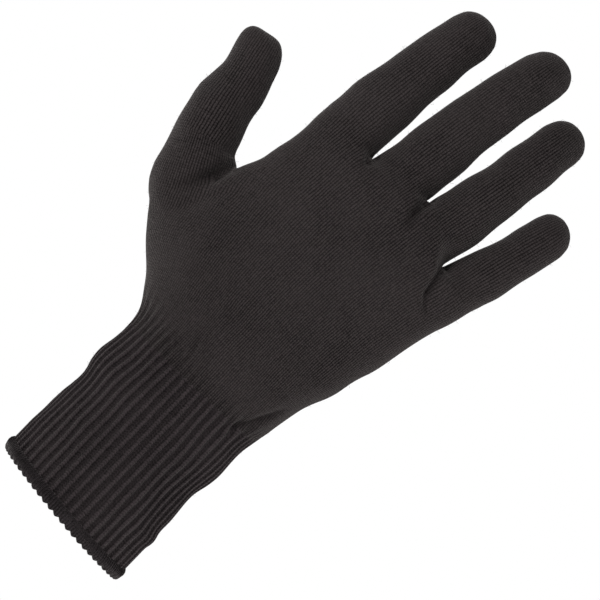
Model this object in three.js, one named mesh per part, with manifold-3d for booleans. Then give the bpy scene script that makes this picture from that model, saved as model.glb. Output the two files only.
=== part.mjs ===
// A thin knitted glove liner for the right hand, filled out as it is when worn.
// The origin is the middle of the open wrist end. +Z runs to the fingertips, -Y is the back of the
// hand and the thumb is at -X. Lengths are in millimetres and angles in degrees.

import * as THREE from 'three';
import Module from 'manifold-3d';

const wasm = await Module();
wasm.setup();

// Knit
const wall = 1.1; // plain knit of the hand and fingers
const ribWall = 1.5; // rib knit of the cuff, under the ribs
const seamGap = 0.3; // clearance where one knitted piece meets the next

// Cuff
const cuffLength = 68; // wrist end to the last ribs
const cuffWidth = 61.2;
const cuffDepth = 46;
const cuffSwell = 2.4; // how much the width rises and falls along the cuff
const ribPitch = 3.5;
const ribHeight = 0.6;
const ribFade = 7; // length over which the ribs run out into the plain knit
const hemSlant = 6.5; // the hem stands higher at the thumb

// Overlocked edge
const weltHeight = 6;
const weltBulge = 1.2;
const scallopPitch = 3.1;
const scallopDepth = 0.5;

// Hand
const wristWidth = 62.4;
const wristDepth = 43;
const wristShift = 1.6; // the top of the cuff leans to the little finger
const palmLength = 109.6; // last ribs to the highest web
const knuckleShift = 12.8; // middle of the finger row from the middle of the cuff
const knuckleDepth = 27;
const knuckleSink = -2; // middle of the knuckles' thickness, towards the back
const knuckleArch = 2; // the outer fingers lie lower than the middle one
const moundReach = 27.5; // how far the thumb's mound stands out from the hand
const heelBulge = 3; // fullness of the palm at the heel of the hand
const handFlatness = 0.9; // added to the power of the sections, so that the hand is less oval

// Fingers
const fingerWidth = 25; // index finger at its root
const fingerLength = 72.2; // middle finger, web to tip
const fingerCurl = 12; // how far the middle finger's tip lies towards the palm
const fingerGap = 0.8; // open space between two fingers at their web
const fingerStub = 2.5; // how far the hand's openings rise past the webs
const stubDepth = 13; // how far each finger's form goes on inside the hand
const buriedTaper = 0.3; // share by which that form narrows, to stay inside the hand
const fingerRoundness = 0.86; // thickness of a finger as a share of its width

// Thumb
const thumbWebRise = 0.615; // place of the thumb's web on the way up the hand
const thumbWidth = 25;
const thumbDepth = 24;
const thumbLength = 48.8; // thumb's web to its tip
const thumbLean = -11.3;
const thumbDrop = 20; // how far the thumb lies towards the palm
const thumbStub = 3;

const cutPast = 1; // length by which a cut runs past the face that it opens
const closestRing = 0.5; // rings of a stall lie at least this far from its open edge

// Faces round the outside and the inside of each kind of tube
const handSides = { outside: 38, inside: 24 };
const fingerSides = { outside: 18, inside: 14 };
const thumbSides = { outside: 22, inside: 16 };

// One row for each finger from the thumb side. root, tip and bow: width at the root, width under the
// tip and sideways bow as shares of the finger width. length and curl: shares of the longest
// finger's. lean: towards the little finger
const fingerRows = [
  { name: 'index_finger', root: 1, tip: 0.812, length: 0.884, lean: 7.8, bow: -0.048, curl: 0.833 },
  { name: 'middle_finger', root: 0.948, tip: 0.816, length: 1, lean: 10.3, bow: -0.08, curl: 1 },
  { name: 'ring_finger', root: 0.876, tip: 0.744, length: 0.861, lean: 9.4, bow: 0.012, curl: 1.083 },
  { name: 'little_finger', root: 0.744, tip: 0.688, length: 0.593, lean: 14.8, bow: 0.036, curl: 0.667 },
];
const fingers = fingerRows.map((row) => ({
  name: row.name,
  root: row.root * fingerWidth,
  tip: row.tip * fingerWidth,
  length: row.length * fingerLength,
  lean: row.lean,
  bow: row.bow * fingerWidth,
  curl: row.curl * fingerCurl,
}));

// Height of the webs between the fingers, and of the outer edges, as shares of the palm's length
const webShares = [0.992, 0.961, 1, 0.885, 0.84];

// Cuff from the hem to the last ribs. lean: share of the wrist's shift and size,
// swell: share of the cuff's swell added to the width
const cuffRows = [
  { at: 0, lean: 0, swell: 0.1 },
  { at: 0.3, lean: 0, swell: -0.35 },
  { at: 0.5, lean: 0, swell: -1 },
  { at: 0.58, lean: 0, swell: -0.8 },
  { at: 0.66, lean: 0, swell: 0.1 },
  { at: 0.74, lean: 0.2, swell: 0.25 },
  { at: 0.86, lean: 0.55, swell: -0.35 },
  { at: 0.93, lean: 0.7, swell: -0.4 },
  { at: 1, lean: 1, swell: 0 },
];

// Hand from the last ribs to the webs.
// spread: share of the way from the wrist's edge to the little finger's edge
// mound: share of the reach of the thumb's mound
// deep: share of the way from the wrist's thickness to the knuckles'
// heel: share of the palm's fullness
// edge: share of the thickness left, which falls off at the webs
// thin, drop: shares of the thickness by which the thumb's edge is thinner and lies lower
const handRows = [
  { at: 0, spread: 0, mound: 0, deep: 0, heel: 0, edge: 1, thin: 0, drop: 0 },
  { at: 0.05, spread: 0.05, mound: 0.02, deep: 0.05, heel: 0.3, edge: 1, thin: 0.02, drop: 0.02 },
  { at: 0.1, spread: 0.09, mound: 0.135, deep: 0.1, heel: 0.55, edge: 1, thin: 0.1, drop: 0.06 },
  { at: 0.2, spread: 0.175, mound: 0.485, deep: 0.22, heel: 0.85, edge: 1, thin: 0.36, drop: 0.16 },
  { at: 0.3, spread: 0.3, mound: 0.84, deep: 0.34, heel: 1, edge: 1, thin: 0.5, drop: 0.22 },
  { at: 0.35, spread: 0.36, mound: 0.98, deep: 0.4, heel: 0.95, edge: 1, thin: 0.55, drop: 0.22 },
  { at: 0.4, spread: 0.41, mound: 0.86, deep: 0.46, heel: 0.9, edge: 1, thin: 0.56, drop: 0.18 },
  { at: 0.5, spread: 0.51, mound: 0.62, deep: 0.58, heel: 0.65, edge: 1, thin: 0.5, drop: 0.12 },
  { at: 0.62, spread: 0.615, mound: 0.34, deep: 0.7, heel: 0.38, edge: 1, thin: 0.36, drop: 0.08 },
  { at: 0.7, spread: 0.675, mound: 0.195, deep: 0.78, heel: 0.2, edge: 1, thin: 0.24, drop: 0.05 },
  { at: 0.8, spread: 0.76, mound: 0.09, deep: 0.87, heel: 0.1, edge: 1, thin: 0.12, drop: 0.03 },
  { at: 0.88, spread: 0.85, mound: 0.04, deep: 0.93, heel: 0, edge: 1, thin: 0.04, drop: 0 },
  { at: 0.93, spread: 0.91, mound: 0.02, deep: 0.97, heel: 0, edge: 0.97, thin: 0, drop: 0 },
  { at: 0.965, spread: 0.95, mound: 0, deep: 1, heel: 0, edge: 0.89, thin: 0, drop: 0 },
  { at: 0.985, spread: 0.98, mound: 0, deep: 1, heel: 0, edge: 0.77, thin: 0, drop: 0 },
  { at: 1, spread: 1, mound: 0, deep: 1, heel: 0, edge: 0.42, thin: 0, drop: 0 },
];

// Places of a finger's rings: shares of its length over the body, then angles over its round tip
const bodyPlaces = [0.08, 0.16, 0.32, 0.5, 0.7];
const domeAngles = [0, 30, 55, 78];
const domeClearance = 0.05; // share of the length that is left free before the round tip
const slantEnd = 0.35; // up to here the rings turn from the webs' slant to square
const curlPower = 1.7; // how late along the finger its curl comes

// Share of the narrowing from a finger's root to its tip
const taperRows = [
  { at: 0, taper: 0 },
  { at: 0.15, taper: 0.04 },
  { at: 0.3, taper: 0.28 },
  { at: 0.45, taper: 0.7 },
  { at: 0.6, taper: 0.94 },
  { at: 0.75, taper: 1 },
  { at: 1, taper: 1.1 },
];

// Thumb from inside the hand to its tip. left, right: edges in half widths from its middle line,
// deep: share of the thickness, drop: share of the drop towards the palm
const thumbRows = [
  { at: -0.95, left: -0.7, right: 1.9, deep: 0.62, drop: 0.27 },
  { at: -0.74, left: -0.16, right: 1.95, deep: 0.88, drop: 0.33 },
  { at: -0.6, left: 0.52, right: 1.8, deep: 1.06, drop: 0.38 },
  { at: -0.5, left: 0.84, right: 1.65, deep: 1.12, drop: 0.41 },
  { at: -0.4, left: 1.04, right: 1.5, deep: 1.13, drop: 0.42 },
  { at: -0.28, left: 1.16, right: 1.3, deep: 1.1, drop: 0.42 },
  { at: 0, left: 1.22, right: 1, deep: 1, drop: 0.41 },
  { at: 0.07, left: 1.24, right: 0.74, deep: 0.97, drop: 0.42 },
  { at: 0.22, left: 1.29, right: 0.68, deep: 0.93, drop: 0.46 },
  { at: 0.32, left: 1.33, right: 0.59, deep: 0.9, drop: 0.52 },
  { at: 0.4, left: 1.3, right: 0.55, deep: 0.87, drop: 0.58 },
  { at: 0.5, left: 1.15, right: 0.58, deep: 0.83, drop: 0.66 },
  { at: 0.62, left: 1.04, right: 0.57, deep: 0.8, drop: 0.75 },
  { at: 0.8, left: 1.08, right: 0.44, deep: 0.74, drop: 0.87 },
  { at: 0.9, left: 1.07, right: 0.3, deep: 0.64, drop: 0.93 },
  { at: 0.96, left: 1, right: 0.14, deep: 0.48, drop: 0.96 },
  { at: 0.985, left: 0.9, right: 0.02, deep: 0.33, drop: 0.97 },
  { at: 1, left: 0.72, right: -0.16, deep: 0.16, drop: 0.98 },
];

// Soft folds on the back: place and half length as shares of the wrist's width, across from its
// middle and up from the last ribs, angle from upright, half width and height as shares of the wall
const folds = [
  { across: 0.42, up: 0.08, angle: 28, length: 0.12, width: 1.9, height: 0.9 },
  { across: 0.33, up: 0.03, angle: 28, length: 0.12, width: 1.7, height: -0.6 },
];

// Places of the rings that only the folds need, and of the first ring of the inner form
const foldPlaces = [0.025, 0.075, 0.15, 0.25];
const innerStart = -0.01;

// Places of the rings up the outside and down the inside of the cuff
const ribPlaces = [0, 0.25, 0.5, 0.58, 0.66, 0.74, 0.84, 0.93, 1];
const liningPlaces = [1, 0.7, 0];

// Section of the overlocked edge: out as a share of the bulge, or at the inside of the cuff's wall,
// and up as a share of its height
const weltRows = [
  { lining: true, out: 0, up: 0.1 },
  { lining: false, out: 0.25, up: 0 },
  { lining: false, out: 1, up: 0.28 },
  { lining: false, out: 1, up: 0.66 },
  { lining: false, out: 0.35, up: 1 },
  { lining: true, out: 0, up: 1 },
];

const radians = THREE.MathUtils.degToRad;
const mix = THREE.MathUtils.lerp;

// Value of a table's column between its rows, on a curve that never overshoots
function read(rows, column, at) {
  const place = THREE.MathUtils.clamp(at, rows[0].at, rows.at(-1).at);
  const low = Math.max(rows.findLastIndex((row, k) => row.at <= place && k < rows.length - 1), 0);
  const rise = (k) => (rows[k + 1][column] - rows[k][column]) / (rows[k + 1].at - rows[k].at);
  const slope = (k) => {
    if (k === 0 || k === rows.length - 1) {
      return 0;
    }
    const product = rise(k - 1) * rise(k);
    return product > 0 ? (2 * product) / (rise(k - 1) + rise(k)) : 0;
  };
  const span = rows[low + 1].at - rows[low].at;
  const t = (place - rows[low].at) / span;
  const [a, b] = [rows[low][column], rows[low + 1][column]];
  const bend = (1 - t) * slope(low) - t * slope(low + 1);
  return a + (b - a) * t * t * (3 - 2 * t) + t * (1 - t) * span * bend;
}

// Side of a section round its middle: power 2 is an ellipse, more is squarer
function rim(part, power) {
  return Math.sign(part) * Math.abs(part) ** (2 / power);
}

// Webs between the fingers, from the index finger's outer edge to the little finger's
const webs = [{ x: 0, z: cuffLength + palmLength * webShares[0] }];
fingers.forEach((finger, k) => {
  const lean = radians(finger.lean);
  const step = palmLength * (webShares[k + 1] - webShares[k]);
  const across = (finger.root + fingerGap + step * Math.sin(lean)) / Math.cos(lean);
  webs.push({ x: webs[k].x + across, z: webs[k].z + step });
});
const rowWidth = webs.at(-1).x;
webs.forEach((web) => {
  web.x += knuckleShift - rowWidth / 2;
});

// Height of the line through the webs, above a place across the hand
function webLine(x) {
  return read(webs.map((web) => ({ at: web.x, z: web.z })), 'z', x);
}

// How far the knuckle row bends towards the palm away from its middle
function arch(x) {
  return knuckleArch * ((x - knuckleShift) / (rowWidth / 2)) ** 2;
}

// Outer left and right edges of the hand, at a share of the way up
function handEdges(along) {
  const spread = read(handRows, 'spread', along);
  const bare = mix(wristShift - wristWidth / 2, webs[0].x, spread);
  return {
    left: bare - moundReach * read(handRows, 'mound', along),
    right: mix(wristShift + wristWidth / 2, webs.at(-1).x, spread),
  };
}

// Height of the folds over the smooth back of the hand
function foldHeight(x, z) {
  let height = 0;
  for (const fold of folds) {
    const dx = x - wristShift - fold.across * wristWidth;
    const dz = z - cuffLength - fold.up * wristWidth;
    const angle = radians(fold.angle);
    const lengthwise = (dx * Math.sin(angle) + dz * Math.cos(angle)) / (fold.length * wristWidth);
    const sideways = (dx * Math.cos(angle) - dz * Math.sin(angle)) / (fold.width * wall);
    height += fold.height * wall * Math.exp(-(lengthwise ** 2) - sideways ** 2);
  }
  return height;
}

// A point of the hand's outer surface
function handPoint(along, turn) {
  const edges = handEdges(along);
  const deep = read(handRows, 'deep', along);
  const power = 2 + handFlatness * deep;
  const halfWidth = (edges.right - edges.left) / 2;
  const x = (edges.left + edges.right) / 2 + halfWidth * rim(Math.cos(turn), power);
  const halfDepth = (mix(wristDepth, knuckleDepth, deep) / 2) * read(handRows, 'edge', along);
  const heel = Math.sin(turn) > 0 ? heelBulge * read(handRows, 'heel', along) : 0;
  const thumbwards = Math.max(-rim(Math.cos(turn), power), 0) ** 2;
  const thinner = 1 - read(handRows, 'thin', along) * thumbwards;
  const lower = read(handRows, 'drop', along) * halfDepth * thumbwards;
  const middle = (knuckleSink + arch(x)) * deep + lower;
  const y = middle + (halfDepth + heel) * thinner * rim(Math.sin(turn), power);
  const z = cuffLength + (webLine(x) - cuffLength) * along;
  return new THREE.Vector3(x, y, z);
}

// The same with the folds of the back
function foldedHandPoint(along, turn) {
  const point = handPoint(along, turn);
  const onBack = Math.max(-Math.sin(turn), 0) ** 0.5;
  return inwards(handPoint, along, turn, -foldHeight(point.x, point.z) * onBack);
}

// A point of a finger's outer surface; along is 0 at its webs and 1 at its tip
function fingerSurface(finger, k) {
  const lean = radians(finger.lean);
  const up = new THREE.Vector3(Math.sin(lean), 0, Math.cos(lean));
  const side = new THREE.Vector3(Math.cos(lean), 0, -Math.sin(lean));
  const [near, far] = [webs[k], webs[k + 1]];
  const middle = { x: (near.x + far.x) / 2, z: (near.z + far.z) / 2 };
  const root = new THREE.Vector3(middle.x, knuckleSink + arch(middle.x), middle.z);
  const between = new THREE.Vector3(far.x - near.x, 0, far.z - near.z);
  const slant = between.dot(up) / between.dot(side);
  const domeStart = 1 - finger.tip / 2 / finger.length;

  return (along, turn) => {
    const width = mix(finger.root, finger.tip, read(taperRows, 'taper', along));
    const dome = Math.sqrt(1 - THREE.MathUtils.clamp((along - domeStart) / (1 - domeStart), 0, 1) ** 2);
    const buried = THREE.MathUtils.clamp((-along * finger.length) / stubDepth, 0, 1);
    const inside = 1 - buriedTaper * buried ** 2;
    const half = (width / 2) * dome * inside;
    const lateral = half * Math.cos(turn);
    const tilt = slant * THREE.MathUtils.clamp(1 - along / slantEnd, 0, 1);
    const bow = finger.bow * Math.sin(Math.PI * THREE.MathUtils.clamp(along, 0, 1));
    const point = root.clone();
    point.addScaledVector(up, along * finger.length + tilt * lateral);
    point.addScaledVector(side, lateral + bow);
    point.y += finger.curl * Math.max(along, 0) ** curlPower;
    point.y += half * fingerRoundness * Math.sin(turn);
    return point;
  };
}

// A point of the thumb's outer surface; along is 0 at its web and 1 at its tip
const thumbUp = new THREE.Vector3(Math.sin(radians(thumbLean)), 0, Math.cos(radians(thumbLean)));
const thumbSide = new THREE.Vector3(thumbUp.z, 0, -thumbUp.x);
const thumbWebX = handEdges(thumbWebRise).left;
const thumbWeb = new THREE.Vector3(
  thumbWebX,
  0,
  cuffLength + (webLine(thumbWebX) - cuffLength) * thumbWebRise,
);
const thumbRoot = thumbWeb.clone();
thumbRoot.addScaledVector(thumbSide, (-thumbWidth / 2) * read(thumbRows, 'right', 0));

function thumbPoint(along, turn) {
  const left = (-thumbWidth / 2) * read(thumbRows, 'left', along);
  const right = (thumbWidth / 2) * read(thumbRows, 'right', along);
  const halfDepth = (thumbDepth / 2) * read(thumbRows, 'deep', along);
  const point = thumbRoot.clone();
  point.addScaledVector(thumbUp, along * thumbLength);
  point.addScaledVector(thumbSide, (left + right) / 2 + ((right - left) / 2) * Math.cos(turn));
  point.y = thumbDrop * read(thumbRows, 'drop', along) + halfDepth * Math.sin(turn);
  return point;
}

// The point of a surface moved inwards, square to it
function inwards(surface, along, turn, depth) {
  const step = 1e-3;
  const upwards = surface(along + step, turn).sub(surface(along - step, turn));
  const around = surface(along, turn + step).sub(surface(along, turn - step));
  const outwards = around.cross(upwards).normalize();
  return surface(along, turn).addScaledVector(outwards, -depth);
}

// Points all the way round a surface at one place along it
function ring(surface, along, sides, depth = 0) {
  return Array.from({ length: sides }, (_, k) => {
    const turn = (2 * Math.PI * k) / sides;
    return depth ? inwards(surface, along, turn, depth) : surface(along, turn);
  });
}

// Two triangles between each pair of neighbours in two rings
function band(count, lower, upper) {
  const faces = [];
  for (let k = 0; k < count; k += 1) {
    const [a, b] = [lower * count + k, lower * count + ((k + 1) % count)];
    const [c, d] = [upper * count + k, upper * count + ((k + 1) % count)];
    faces.push(a, b, d, a, d, c);
  }
  return faces;
}

// Closed solid through rings from bottom to top, with a flat fan over each end
function loft(rings) {
  const count = rings[0].length;
  const points = rings.flat();
  const faces = [];
  for (let row = 0; row + 1 < rings.length; row += 1) {
    faces.push(...band(count, row, row + 1));
  }
  const capEnd = (row, pointsUp) => {
    const centre = new THREE.Vector3();
    rings[row].forEach((point) => centre.addScaledVector(point, 1 / count));
    points.push(centre);
    for (let k = 0; k < count; k += 1) {
      const [a, b] = [row * count + k, row * count + ((k + 1) % count)];
      faces.push(...(pointsUp ? [a, b] : [b, a]), points.length - 1);
    }
  };
  capEnd(0, false);
  capEnd(rings.length - 1, true);
  return toManifold(points, faces);
}

// Closed tube with a wall: rings up its outside, then down its inside
function sleeve(rings) {
  const faces = [];
  rings.forEach((_, row) => faces.push(...band(rings[0].length, row, (row + 1) % rings.length)));
  return toManifold(rings.flat(), faces);
}

function toManifold(points, faces) {
  const vertProperties = new Float32Array(points.flatMap((point) => point.toArray()));
  return new wasm.Manifold(
    new wasm.Mesh({ numProp: 3, vertProperties, triVerts: new Uint32Array(faces) }),
  );
}

const charcoal = 0x2f2b2c;
const group = new THREE.Group();

function addPiece(name, solid) {
  const { vertProperties, triVerts } = solid.getMesh();
  const geometry = new THREE.BufferGeometry();
  geometry.setAttribute('position', new THREE.BufferAttribute(new Float32Array(vertProperties), 3));
  geometry.setIndex(new THREE.BufferAttribute(new Uint32Array(triVerts), 1));
  geometry.computeVertexNormals();
  const material = new THREE.MeshStandardMaterial({ color: charcoal, roughness: 0.95, metalness: 0 });
  const mesh = new THREE.Mesh(geometry, material);
  mesh.name = name;
  group.add(mesh);
}

// Places along a finger: over its body, then closer over its round tip
function fingerPlaces(finger) {
  const domeStart = 1 - finger.tip / 2 / finger.length;
  const body = bodyPlaces.filter((at) => at < domeStart - domeClearance);
  const tip = domeAngles.map((angle) => mix(domeStart, 1, Math.sin(radians(angle))));
  return [...body, ...tip];
}

// Height of the hem's slanting line above a place across the cuff
function hemLine(x) {
  return -x * Math.tan(radians(hemSlant));
}

// A point of the cuff, some way out from the foot of its ribs; along is 0 at the welt's upper edge
function cuffPoint(along, turn, out) {
  const lean = read(cuffRows, 'lean', along);
  const halfWidth = (mix(cuffWidth, wristWidth, lean) + cuffSwell * read(cuffRows, 'swell', along)) / 2;
  const halfDepth = mix(cuffDepth, wristDepth, lean) / 2;
  const x = wristShift * lean + (halfWidth + out) * Math.cos(turn);
  const start = weltHeight + hemLine(x);
  return new THREE.Vector3(x, (halfDepth + out) * Math.sin(turn), mix(start, cuffLength, along));
}

// Turns that space points evenly round the cuff's oval
function evenTurns(count) {
  const fine = 720;
  const lengths = [0];
  for (let k = 1; k <= fine; k += 1) {
    const turn = (2 * Math.PI * (k - 0.5)) / fine;
    const pace = Math.hypot((cuffWidth / 2) * Math.sin(turn), (cuffDepth / 2) * Math.cos(turn));
    lengths.push(lengths[k - 1] + (pace * 2 * Math.PI) / fine);
  }
  return Array.from({ length: count }, (_, k) => {
    const target = (lengths[fine] * k) / count;
    const after = lengths.findIndex((length) => length > target);
    const part = (target - lengths[after - 1]) / (lengths[after] - lengths[after - 1]);
    return (2 * Math.PI * (after - 1 + part)) / fine;
  });
}

const cuffGirth = Math.PI * (cuffWidth + cuffDepth) / 2;

// The ribs are upright folds of the knit, a high line and a low line for each, that run out at the top
function buildCuff() {
  const turns = evenTurns(2 * Math.round(cuffGirth / ribPitch));
  const lowest = seamGap / cuffLength;
  const highest = 1 - seamGap / cuffLength;
  const fadeStart = 1 - ribFade / cuffLength;
  const outside = ribPlaces.map((place) => {
    const along = mix(lowest, highest, place);
    const left = 1 - THREE.MathUtils.smoothstep(along, fadeStart, highest);
    return turns.map((turn, k) => cuffPoint(along, turn, k % 2 ? 0 : ribHeight * left));
  });
  const inside = liningPlaces.map((place) => {
    const along = mix(lowest, highest, place);
    return turns.map((turn) => cuffPoint(along, turn, -ribWall));
  });
  addPiece('rib_cuff', sleeve([...outside, ...inside]));
}

// Overlocked edge: a thick roll round the cuff's end with a pointed stitch at each scallop
function buildWelt() {
  const turns = evenTurns(2 * Math.round(cuffGirth / scallopPitch));
  const rings = weltRows.map(({ lining, out, up }) =>
    turns.map((turn, k) => {
      const point = cuffPoint(0, turn, lining ? -ribWall : out * weltBulge);
      const scallop = k % 2 ? scallopDepth * (1 - up) ** 3 : 0;
      point.z = hemLine(point.x) + weltHeight * up + scallop;
      return point;
    }),
  );
  addPiece('cuff_welt', sleeve(rings));
}

const stalls = fingers.map((finger, k) => ({ finger, surface: fingerSurface(finger, k) }));

// The hand with its openings: outer forms joined, and the same forms one wall smaller cut away
function buildPalm() {
  const rise = handRows.map((row) => row.at);
  const outerPlaces = [...rise, ...foldPlaces].sort((a, b) => a - b);
  const innerPlaces = [innerStart, ...outerPlaces.filter((at) => at < 1)];
  const outside = (surface, places, sides) =>
    loft(places.map((at) => ring(surface, at, sides.outside)));
  const inside = (surface, places, sides) =>
    loft(places.map((at) => ring(surface, at, sides.inside, wall)));

  let outer = outside(foldedHandPoint, outerPlaces, handSides);
  let inner = inside(handPoint, innerPlaces, handSides);
  for (const { finger, surface } of stalls) {
    const shares = (places) => places.map((place) => place / finger.length);
    const outerRise = [-stubDepth, -stubDepth / 2, 0, fingerStub];
    const innerRise = [-stubDepth, -stubDepth / 2, 0, fingerStub + cutPast];
    outer = outer.add(outside(surface, shares(outerRise), fingerSides));
    inner = inner.add(inside(surface, shares(innerRise), fingerSides));
  }
  const thumbTop = thumbStub / thumbLength;
  const thumbPlaces = thumbRows.map((row) => row.at).filter((at) => at < thumbTop);
  outer = outer.add(outside(thumbPoint, [...thumbPlaces, thumbTop], thumbSides));
  const pastTop = (thumbStub + cutPast) / thumbLength;
  inner = inner.add(inside(thumbPoint, [...thumbPlaces, pastTop], thumbSides));
  addPiece('palm', outer.subtract(inner));
}

// A stall is closed at its tip and open where it meets the hand. Its inside has two rings for three
function buildStall(name, surface, sides, length, stub, allPlaces) {
  const start = (stub + seamGap) / length;
  const places = allPlaces.filter((at) => at > start + closestRing / length);
  const outerRings = [start, ...places].map((at) => ring(surface, at, sides.outside));
  const innerPlaces = [start - cutPast / length, ...places.filter((_, k) => k % 3 !== 1)];
  const innerRings = innerPlaces.map((at) => ring(surface, at, sides.inside, wall));
  addPiece(name, loft(outerRings).subtract(loft(innerRings)));
}

buildWelt();
buildCuff();
buildPalm();
const thumbRise = thumbRows.map((row) => row.at);
buildStall('thumb', thumbPoint, thumbSides, thumbLength, thumbStub, thumbRise);
for (const { finger, surface } of stalls) {
  buildStall(finger.name, surface, fingerSides, finger.length, fingerStub, fingerPlaces(finger));
}

export default group;
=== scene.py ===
# A thin knitted glove liner, black, filled out as it is when worn.
# Metres, +Z to the fingertips, -Y is the back of the hand and the thumb is at -X.

import math
from collections import namedtuple

import bmesh
import bpy
import numpy as np
from mathutils import Matrix, Vector
from mathutils.bvhtree import BVHTree


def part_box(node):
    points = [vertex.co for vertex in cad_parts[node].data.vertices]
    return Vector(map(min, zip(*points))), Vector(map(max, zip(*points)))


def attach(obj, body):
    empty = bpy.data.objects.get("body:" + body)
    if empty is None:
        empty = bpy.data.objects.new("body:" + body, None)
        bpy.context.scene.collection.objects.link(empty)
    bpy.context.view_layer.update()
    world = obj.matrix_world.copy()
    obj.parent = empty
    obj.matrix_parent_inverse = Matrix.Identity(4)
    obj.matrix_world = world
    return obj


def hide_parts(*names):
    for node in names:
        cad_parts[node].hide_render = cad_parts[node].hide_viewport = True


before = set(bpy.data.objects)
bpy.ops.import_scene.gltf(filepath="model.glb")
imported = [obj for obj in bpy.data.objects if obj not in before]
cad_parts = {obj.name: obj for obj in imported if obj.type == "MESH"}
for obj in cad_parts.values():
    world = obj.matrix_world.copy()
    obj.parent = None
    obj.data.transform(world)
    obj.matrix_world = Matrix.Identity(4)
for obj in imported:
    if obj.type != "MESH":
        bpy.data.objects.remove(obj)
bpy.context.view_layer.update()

MM = 0.001
SAME_PLACE = 1e-6  # points nearer than this are one

# Sizes that the frame gives
CUFF_LOW, CUFF_HIGH = (Vector(corner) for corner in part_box("rib_cuff"))
PALM_LOW, PALM_HIGH = (Vector(corner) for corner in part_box("palm"))
CUFF_MIDDLE = Vector(((CUFF_LOW.x + CUFF_HIGH.x) / 2, 0, 0))
FINGERS = ("index_finger", "middle_finger", "ring_finger", "little_finger")
DIGITS = ("thumb",) + FINGERS

# Smooth form under the knit
WALL = 1.1 * MM
RIM_ANGLE = math.radians(55)  # past this an edge stays sharp, so that no line shows at a seam
FORM_GRID = 0.6 * MM  # spacing of the smooth form's faces
SLOT_STRETCH = 1.7  # the form is this much wider while it is joined, to keep the narrow slots
SOFT_WAVE = 7 * MM  # unevenness shorter than this is smoothed away
KNUCKLE_WAVE = 18 * MM  # the same over the knuckles
KNUCKLE_RISE = (-26 * MM, -12 * MM)  # they start here, counted from the fingers' roots
KNUCKLE_FALL = (8 * MM, 22 * MM)  # and end here
KNUCKLE_FACING = (0.25, 0.6)  # how far a face has to look to the back or the palm
SPRING_RANGE = (0.5, 3)  # weakest and stiffest spring, where 1 joins points one grid step apart
SEAM_CLOSE = 0.45 * MM  # shuts the CAD's clearance between two pieces while the skin is made
KEPT_FACES = 0.3  # share of the smooth form's faces that the pieces keep
DIGIT_REACH = 16 * MM  # a digit's skin lies nearer than this to its middle line
TIP_SHARE = 0.93  # a digit's tip is what lies past this share of its length
RIM_FACING = -0.7  # the faces of a digit's rim look down more than this
RIM_TOP = 0.1 * MM  # what lies this near the cuff's top is its rim
PLUG_INSET = 1.2 * MM
PLUG_RISE = 16 * MM
PLUG_THICK = 4 * MM
PLUG_SIDES = 48
LUMP = 0.11 * MM  # height of each of the faint waves in the filled-out cloth
LUMP_WAVES = 7
LUMP_SPAN = (13, 30)  # shortest and longest of the waves in millimetres
LUMP_SEED = 11

# Folds on the back: half width, then x, z and depth of each corner, all in millimetres.
# A negative depth is a ridge.
FOLDS = (
    (1.8, ((-7.6, 173, 1.6), (-7.9, 169.2, 1.6), (-8.4, 165, 0))),
    (2.0, ((17.6, 175, 1.4), (16.8, 167.5, 2.3), (18.2, 160, 0))),
    (1.7, ((38.1, 163, 1.0), (38.6, 156.5, 1.8), (39.7, 150.5, 0.9), (40.3, 148.5, 0))),
    (1.0, ((39.2, 153, 0.6), (40, 148.9, 1.3), (42.5, 145.9, 1.2), (48, 143.5, 0))),
    (2.4, ((-40.5, 138, 0.3), (-45.5, 126, 1.8), (-53, 112, 0))),
    (2.4, ((-36.5, 138, 0), (-40.5, 126, -0.8), (-48, 111, 0))),
    (1.3, ((20, 62, 0), (24, 68.4, 1.2), (30.2, 79.5, 1.2), (33, 87, 0))),
    (2.1, ((25.5, 62, 0), (29.5, 71, -1.0), (35, 83, 0))),
    (1.1, ((-8.6, 86, 0), (-6.5, 79, 0.8), (-4.3, 71, 0))),
    (3.0, ((21, 114, 0), (30, 111, 0.4), (40, 108, 0))),
    (3.0, ((15, 100, 0), (26, 100.3, 0.35), (37, 100, 0))),
    (2.6, ((-12, 95.5, 0), (-5.5, 95.3, 0.35), (1, 95.5, 0))),
    (3.2, ((-33, 93, 0), (-24, 97, 0.4), (-14, 98, 0))),
)
DEEP_FOLD = 3.4 * MM  # a fold this deep gets the darkest painted shade
FOLD_FACING = (-0.1, -0.45)  # folds start and are full where a face looks this far to the back

# Ends of the slots between the fingers: x and z, then their shift in x and z, all in millimetres
SLOT_ENDS = ((-6.7, 173.9, -0.9, -2.4), (18.1, 177.0, -1.0, -2.7), (39.9, 165.3, -2.0, -4.0))
SLOT_PULL = 6 * MM  # how far round a slot's end the shift reaches

# Knit
COURSE = 1.05 * MM  # height of one row of stitches
PALM_WALE = 0.95 * MM  # width of one column of stitches
THUMB_WALE = 1.1 * MM
FINGER_WALES = (1.08 * MM, 0.88 * MM)  # at a finger's root and at its tip
FAN_WIDTH = 11 * MM
THUMB_SIDE_LEAN = math.radians(27)
THUMB_SIDE = (-12 * MM, -42 * MM)  # where the lean starts and where it is full
THUMB_FADE = 12 * MM  # and how far above the thumb's root it ends
LEAST_FLOW = 0.05  # weight of a point where the columns would run into the surface
SHEETS = 8  # more than the sheets that the knit is laid in

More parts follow.
